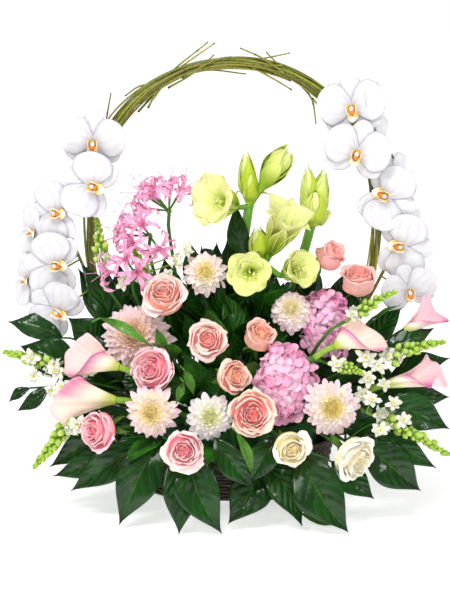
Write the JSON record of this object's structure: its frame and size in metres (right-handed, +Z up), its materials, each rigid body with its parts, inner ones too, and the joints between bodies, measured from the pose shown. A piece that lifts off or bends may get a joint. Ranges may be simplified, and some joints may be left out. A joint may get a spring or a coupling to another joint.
{
  "type": "flower basket arrangement",
  "caption": "Oval wicker basket of mixed flowers in wet foam under a high arched handle of bound twigs, with an orchid spray down each side of the arch and a skirt of dark lobed leaves",
  "frame": {"origin": "the middle of the flat underside of the basket, on the surface that it stands on", "axes": "+Z is up, +X runs along the basket and the arch to the viewer's right, and -Y is the front of the arrangement"},
  "size_m": [0.703, 0.4808, 0.7123],
  "materials": {
    "wicker": "dark stained woven willow, dull",
    "liner": "thin black waterproof tray",
    "foam": "wet fine-celled flower foam, dark green",
    "twig": "smooth yellow-green shoots with dark nodes and cut tips",
    "orchid": "waxy white petals with a yellow and red-brown lip",
    "rose_pink": "soft pink petals, paler and creamier outside",
    "rose_peach": "soft peach petals, pink in the heart",
    "rose_cream": "cream-white petals with a yellow-green cast at the base",
    "dahlia_white": "white to blush petals round a yellow centre",
    "dahlia_peach": "peach-pink petals with lilac tips and an ochre heart",
    "hydrangea": "lilac-pink sepals with fine veins",
    "nerine": "curled pink tepals with a darker middle line",
    "amaryllis": "pale lime tepals, greener in the throat",
    "amaryllis_stem": "thick smooth green stems and lime buds",
    "calla": "peach-cream spathe with a magenta rim and a yellow-green base",
    "snapdragon": "lime bead buds and small ruffled white florets",
    "stem": "plain green stems and leaf blades",
    "leaf": "glossy very dark green leaves with pale ribs"
  },
  "bodies": {
    "root": {"basket": "wicker", "basket_liner": "liner", "floral_foam": "foam", "twig_arch": "twig", "rose_upper_left": "rose_pink", "rose_middle": "rose_pink", "rose_left": "rose_pink", "rose_low_left": "rose_pink", "rose_front_left": "rose_pink", "rose_bud_middle": "rose_peach", "rose_peach": "rose_peach", "rose_front": "rose_pink", "rose_high_right": "rose_peach", "rose_right": "rose_peach", "rose_white_front": "rose_cream", "rose_white_right": "rose_cream", "dahlia_upper": "dahlia_white", "dahlia_ball": "dahlia_white", "dahlia_large": "dahlia_peach", "dahlia_left": "dahlia_peach", "dahlia_front": "dahlia_white", "dahlia_right": "dahlia_white", "hydrangea_front": "hydrangea", "hydrangea_back": "hydrangea", "orchid_spray_left": "orchid", "orchid_spray_right": "orchid", "nerine_high": "nerine", "nerine_middle": "nerine", "nerine_low": "nerine", "amaryllis_high": "amaryllis_stem", "amaryllis_right": "amaryllis_stem", "amaryllis_low": "amaryllis_stem", "amaryllis_bloom_high": "amaryllis", "amaryllis_bloom_middle": "amaryllis", "amaryllis_bloom_front": "amaryllis", "amaryllis_bloom_right": "amaryllis", "calla_left_high": "calla", "calla_left_low": "calla", "calla_right_inner": "calla", "calla_right_high": "calla", "calla_right_low": "calla", "snapdragon_left_top": "snapdragon", "snapdragon_upper_left": "snapdragon", "snapdragon_left": "snapdragon", "snapdragon_low_left": "snapdragon", "snapdragon_upper_right": "snapdragon", "snapdragon_right": "snapdragon", "snapdragon_inner_right": "snapdragon", "snapdragon_low_right": "snapdragon", "stems_left": "stem", "stems_middle": "stem", "stems_right": "stem", "foliage_front": "leaf", "foliage_left": "leaf", "foliage_right": "leaf", "foliage_back": "leaf", "foliage_upper": "leaf"}
  },
  "joints": []
}
